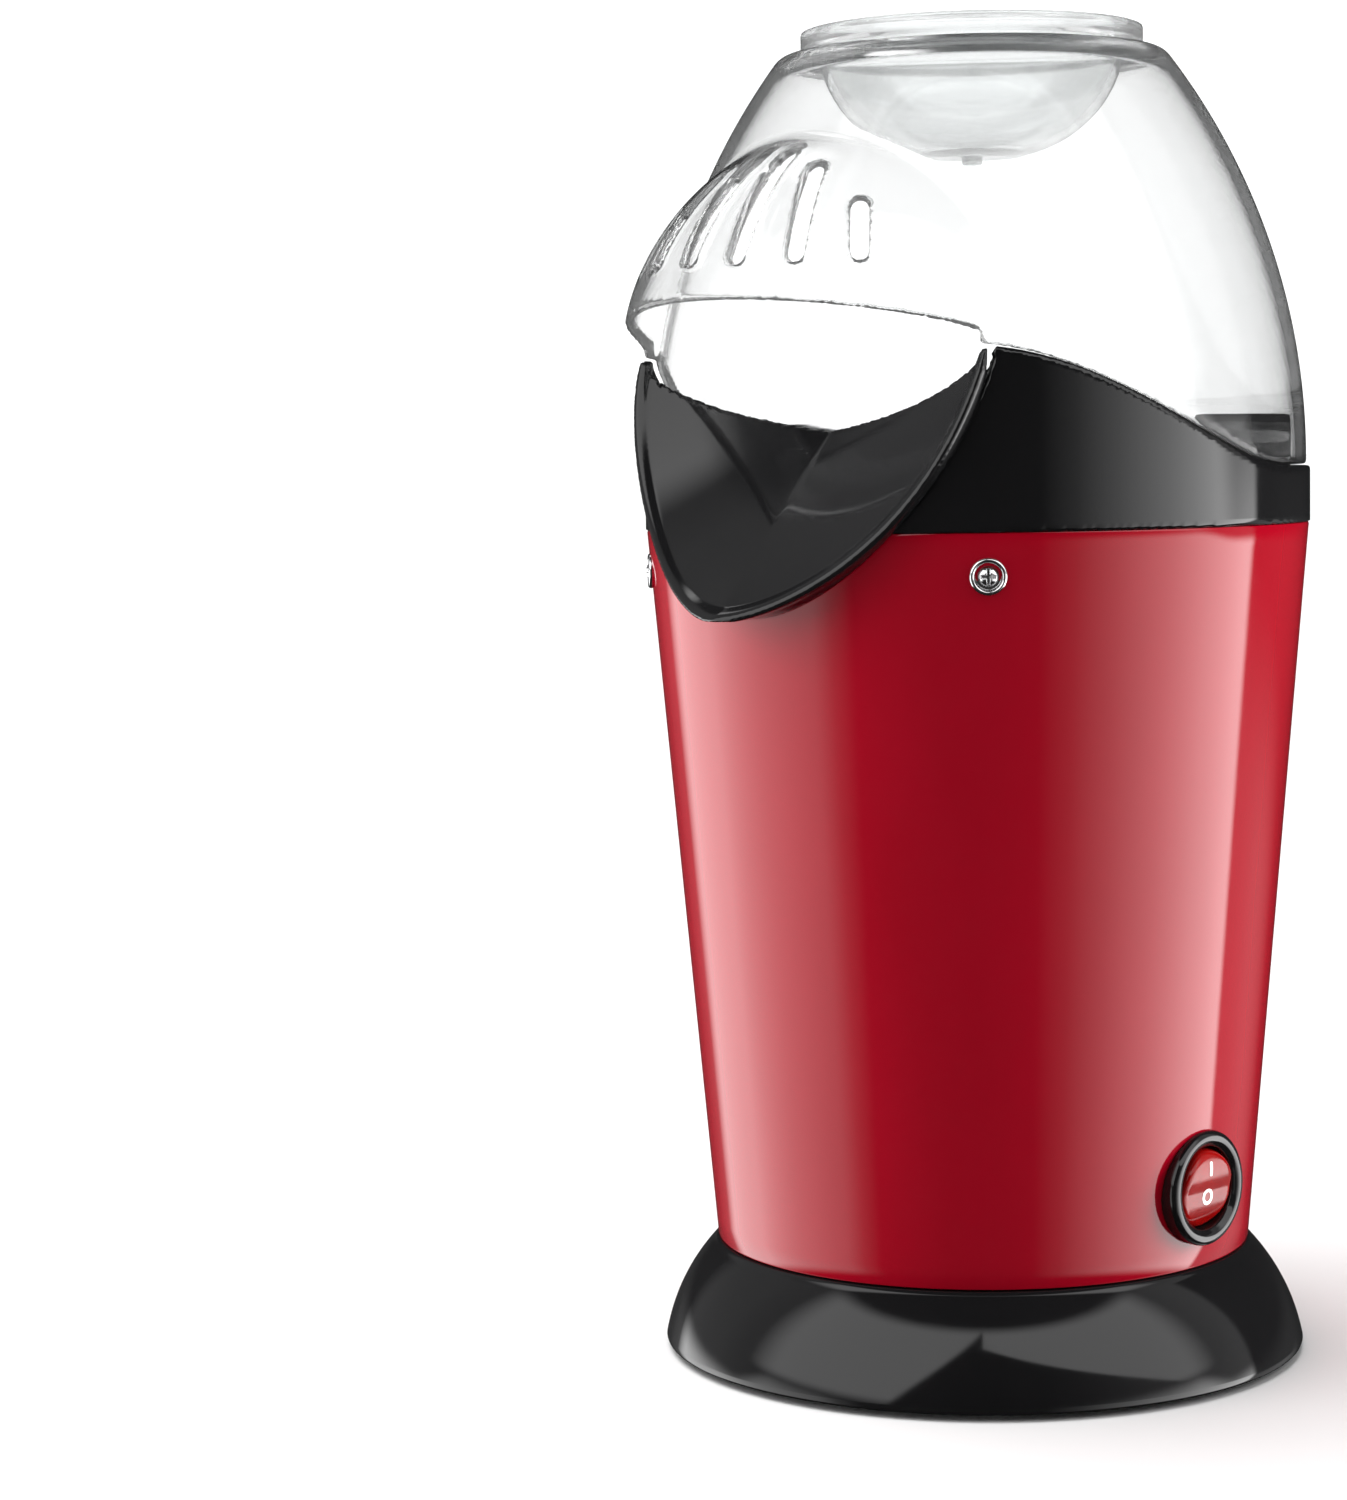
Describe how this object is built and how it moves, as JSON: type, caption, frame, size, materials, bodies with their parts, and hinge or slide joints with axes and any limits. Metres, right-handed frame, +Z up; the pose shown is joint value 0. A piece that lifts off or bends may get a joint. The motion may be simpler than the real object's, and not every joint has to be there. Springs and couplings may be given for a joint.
{
  "type": "popcorn maker",
  "caption": "Hot-air popcorn maker: red tapered body on a flared black base, V-shaped pouring spout, clear hooded cover with a measuring cup in its top opening, and a round rocker switch.",
  "frame": {"origin": "on the vertical axis of the round body, in the plane the four feet stand on", "axes": "+Z up, the spout towards -Y, the switch on the +X side, the cord gland towards +Y"},
  "size_m": [0.1458, 0.1602, 0.29],
  "materials": {
    "gloss_black": "gloss",
    "red_body": "high gloss",
    "clear_cover": "clear, polished",
    "red_lens": "translucent gloss",
    "chromed": "bright plated",
    "steel": "rolled",
    "pan_aluminium": "drawn, satin",
    "mica": "layered sheet",
    "nichrome": "oxidised wire",
    "foot_rubber": "matte",
    "matt_black": "fine spark texture",
    "fan_plastic": "natural moulded",
    "magnet": "sintered",
    "copper": "machined",
    "bronze": "sintered",
    "carbon": "pressed carbon",
    "board": "paper laminate",
    "diode_black": "moulded epoxy",
    "lamp_glass": "clear",
    "lead_red": "insulation",
    "lead_white": "insulation"
  },
  "bodies": {
    "housing": {"base_shell": "gloss_black", "bottom_plate": "matt_black", "rubber_feet": "foot_rubber", "base_screws": "steel", "body_shell": "red_body", "upper_housing": "gloss_black", "spout_chute": "gloss_black", "shell_screws": "chromed", "screw_cup_washers": "chromed", "popping_chamber": "pan_aluminium", "chamber_screws": "steel", "heater_duct": "steel", "duct_screws": "steel", "mica_liner": "mica", "mica_cross": "mica", "heating_coil": "nichrome", "thermostat": "steel", "thermal_fuse": "steel", "fan_shroud": "matt_black", "motor_can": "steel", "motor_end_cap": "matt_black", "motor_bushes": "bronze", "motor_magnets": "magnet", "motor_brushes": "carbon", "motor_screws": "steel", "rectifier_board": "board", "rectifier_diodes": "diode_black", "switch_housing": "gloss_black", "switch_terminals": "bronze", "neon_lamp": "lamp_glass", "cord_gland": "foot_rubber", "cord_clamp": "matt_black", "clamp_post": "matt_black", "cord_clamp_screws": "steel", "live_lead": "lead_red", "neutral_lead": "lead_white", "heater_lead": "lead_red"},
    "cover": {"top_cover": "clear_cover"},
    "cup": {"measuring_cup": "clear_cover"},
    "rocker": {"switch_rocker": "red_lens"},
    "rotor": {"motor_shaft": "steel", "fan_impeller": "fan_plastic", "motor_armature": "steel", "commutator": "copper"}
  },
  "joints": [
    {"name": "cover_lift", "type": "slide", "parent": "housing", "child": "cover", "axis": [0, 0, 1], "range_m": [0, 0.1]},
    {"name": "cup_lift", "type": "slide", "parent": "cover", "child": "cup", "axis": [0, 0, 1], "range_m": [0, 0.05]},
    {"name": "rocker_tilt", "type": "hinge", "parent": "housing", "child": "rocker", "pos_m": [0.0586, 0, 0.0425], "axis": [0, -1, 0], "range_deg": [0, 20]},
    {"name": "rotor_spin", "type": "hinge", "parent": "housing", "child": "rotor", "pos_m": [0, 0, 0.05], "axis": [0, 0, 1], "continuous": true}
  ]
}
